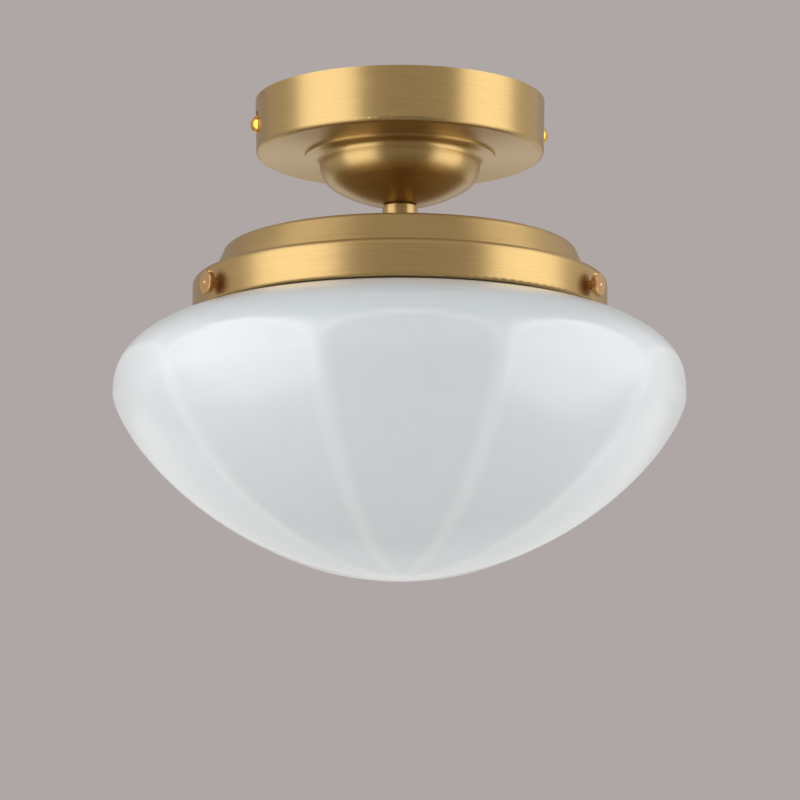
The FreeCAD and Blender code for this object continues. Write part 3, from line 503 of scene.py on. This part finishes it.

# %% [markdown]
# A panel's face is turned too, but about an axis that lies beyond the light's own, so it is
# flatter than the turned form and its sides meet the next panel's in a ridge. The soft minimum
# of the two surfaces rounds the meeting line. A narrow strip of the turned form is left along
# each ridge, as the hot glass doesn't fill the mould's corners, and it is marked as a crease: the
# mask where the glass gets a painted highlight, along the ridges and the panel tops.

# %% Press the panels into the outer skin
BLEND_DEPTH = 0.2
CREASE_DEPTH = 0.45
RIDGE_EASE = math.radians(0.4)
POLE_CALM_RADIUS = 20.0
half_panel = math.pi / PANEL_COUNT


def panel_reach(bearing, level):
    """How far from the axis a panel's face lies, at a bearing and a level."""
    along = min(max((equator_level - level) / BOWL_DEPTH, 0), 1)
    ridge = EQUATOR_RADIUS * (1 - along ** BOWL_POWERS[1]) ** (1 / BOWL_POWERS[0]) + RIDGE_SOFTENING
    from_middle = (bearing - PANEL_TURN + half_panel) % (2 * half_panel) - half_panel
    to_ridge = half_panel - abs(from_middle)
    eased = half_panel - math.hypot(to_ridge, RIDGE_EASE)
    turned_radius = math.hypot(ridge + PANEL_CENTRE_SHIFT * math.cos(half_panel),
                               PANEL_CENTRE_SHIFT * math.sin(half_panel))
    aside = PANEL_CENTRE_SHIFT * math.sin(eased)
    return math.sqrt(turned_radius ** 2 - aside ** 2) - PANEL_CENTRE_SHIFT * math.cos(eased)


def soft_minimum(first, second, depth):
    """The smaller of two numbers, rounded where they are within a depth of each other."""
    share = min(max(0.5 + (second - first) / (2 * depth), 0), 1)
    return second + (first - second) * share - depth * share * (1 - share)


# The crease layer is the mask of the glass's painted highlight on ridges and panel tops.
crease = outer_skin.verts.layers.float.new("crease")
inner_skin.verts.layers.float.new("crease")
for vert in outer_skin.verts:
    radius = math.hypot(vert.co.x, vert.co.y) / MM
    level = vert.co.z / MM
    if radius < RIDGE_SOFTENING or level > cove_top:
        continue
    depth = BLEND_DEPTH * min(1, radius / POLE_CALM_RADIUS)
    face_reach = panel_reach(math.atan2(vert.co.y, vert.co.x), level)
    off_band = abs(radius - face_reach + RIDGE_SOFTENING / 2) - RIDGE_SOFTENING / 2
    vert[crease] = min(max(1 - off_band / CREASE_DEPTH, 0), 1)
    reach = soft_minimum(radius, face_reach, depth)
    vert.co.x *= reach / radius
    vert.co.y *= reach / radius
print("deepest panel cut in mm:", round(EQUATOR_RADIUS - panel_reach(PANEL_TURN, equator_level), 2))

# %% Join the skins and hand the shade over
outer_data = bpy.data.meshes.new("outer_skin")
outer_skin.to_mesh(outer_data)
outer_skin.free()
inner_skin.from_mesh(outer_data)
bpy.data.meshes.remove(outer_data)
bmesh.ops.remove_doubles(inner_skin, verts=inner_skin.verts[:], dist=0.001 * MM)
shade = finished("shade_of_opal_glass", inner_skin, finishes["opal_glass"])
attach(shade, "fixture")
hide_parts("glass_shade")

# %% [markdown]
# ## Floor, light and background
#
# A studio stands in for the room: a pale floor well below the light, a large soft lamp at each
# front side that draws an upright highlight on the brass and fills a panel of the glass, a dim
# lamp behind each of them for the edges, one low above the camera and one behind. The surround
# is pale for the camera, for reflections and for light that comes through glass, and somewhat
# dimmer as a lamp, so that the shade keeps its form.

# %% Build the studio
FLOOR_LEVEL = -2.3
FLOOR_SIZE = 14.0
FLOOR_MOTTLE_SIZE = 1 / 3
SURROUND_SEEN = colour("AFA7A5")
SURROUND_LIGHT = colour("8B9094")


def studio_floor():
    material, tree, shader = new_material("floor_pale_painted")
    mottle = grains(tree, FLOOR_MOTTLE_SIZE, 4.0)
    tree.links.new(blended(tree, mottle, colour("CFCCC9"), colour("D8D5D2")), shader.inputs["Base Color"])
    shader.inputs["Roughness"].default_value = 0.8
    mesh = bmesh.new()
    bmesh.ops.create_grid(mesh, x_segments=1, y_segments=1, size=FLOOR_SIZE / 2)
    bmesh.ops.translate(mesh, verts=mesh.verts[:], vec=(0, 0, FLOOR_LEVEL))
    return finished("studio_floor", mesh, material)


floor = studio_floor()

world = bpy.data.worlds.new("surround")
world.use_nodes = True
bpy.context.scene.world = world
sky = world.node_tree
seen = add_node(sky, "ShaderNodeLightPath")
mirrored = add_node(sky, "ShaderNodeMath", {"operation": "MAXIMUM"},
                    {0: seen.outputs["Is Camera Ray"], 1: seen.outputs["Is Glossy Ray"]})
shown = add_node(sky, "ShaderNodeMath", {"operation": "MAXIMUM"},
                 {0: mirrored.outputs[0], 1: seen.outputs["Is Transmission Ray"]})
surround = blended(sky, shown.outputs[0], SURROUND_LIGHT, SURROUND_SEEN)
sky.links.new(surround, sky.nodes["Background"].inputs["Color"])


# %% Hang the lamps
LAMP_DISTANCE = 2.0
SIDE_LAMP_LEVEL = -0.1
SIDE_LAMP_HEIGHT = 4.0
FRONT_LAMP_GLOW = 1.75


def soft_lamp(name, bearing, level, width, height, glow):
    """Area lamp at a bearing in degrees from the camera's side, aimed at the light's middle. Its
    glow is its brightness in a mirror, where 1 is white."""
    data = bpy.data.lights.new(name, "AREA")
    data.shape = "RECTANGLE"
    data.size = width
    data.size_y = height
    data.energy = glow * math.pi * width * height
    lamp = bpy.data.objects.new(name, data)
    bpy.context.scene.collection.objects.link(lamp)
    turn = CAMERA_BEARING - math.radians(bearing)
    lamp.location = (-LAMP_DISTANCE * math.sin(turn), -LAMP_DISTANCE * math.cos(turn), level)
    aim = Vector((0, 0, (POLE_LEVEL / 2) * MM)) - lamp.location
    lamp.rotation_euler = aim.to_track_quat("-Z", "Y").to_euler()
    return lamp


soft_lamp("lamp_left", -60, SIDE_LAMP_LEVEL, 2.0, SIDE_LAMP_HEIGHT, FRONT_LAMP_GLOW)
soft_lamp("lamp_right", 74, SIDE_LAMP_LEVEL, 1.8, SIDE_LAMP_HEIGHT, FRONT_LAMP_GLOW)
soft_lamp("lamp_far_left", -108, SIDE_LAMP_LEVEL, 1.6, SIDE_LAMP_HEIGHT, 0.2)
soft_lamp("lamp_far_right", 120, SIDE_LAMP_LEVEL, 1.6, SIDE_LAMP_HEIGHT, 0.28)
soft_lamp("lamp_above", 0, 1.4, 3.0, 1.2, 0.4)
soft_lamp("lamp_behind", 180, -1.1, 4.0, 1.6, 0.55)
bpy.context.scene.view_settings.view_transform = "Standard"
